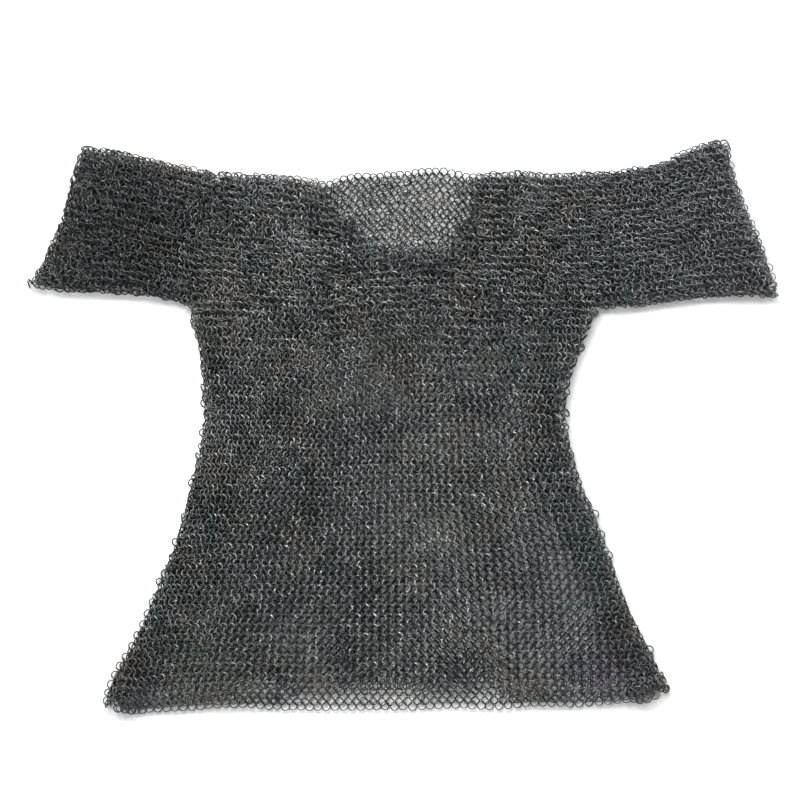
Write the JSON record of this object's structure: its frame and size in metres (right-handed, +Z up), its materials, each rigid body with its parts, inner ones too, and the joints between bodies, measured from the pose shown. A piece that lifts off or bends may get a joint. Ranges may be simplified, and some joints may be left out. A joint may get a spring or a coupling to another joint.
{
  "type": "chainmail hauberk",
  "caption": "Short-sleeved shirt of blackened steel mail with a scooped neck and flared hem, lying flat on its back.",
  "frame": {"origin": "on the ground under the middle of the laid shirt's box", "axes": "+X across the shirt towards the wearer's left sleeve, +Y from the hem to the shoulders, +Z up out of the front"},
  "size_m": [1.089, 0.8319, 0.0154],
  "materials": {
    "mail": "blackened and oiled steel, satin, worn bright on the crowns of the rings"
  },
  "bodies": {
    "root": {"back_panel": "mail", "front_panel": "mail", "right_sleeve": "mail", "left_sleeve": "mail"}
  },
  "joints": []
}
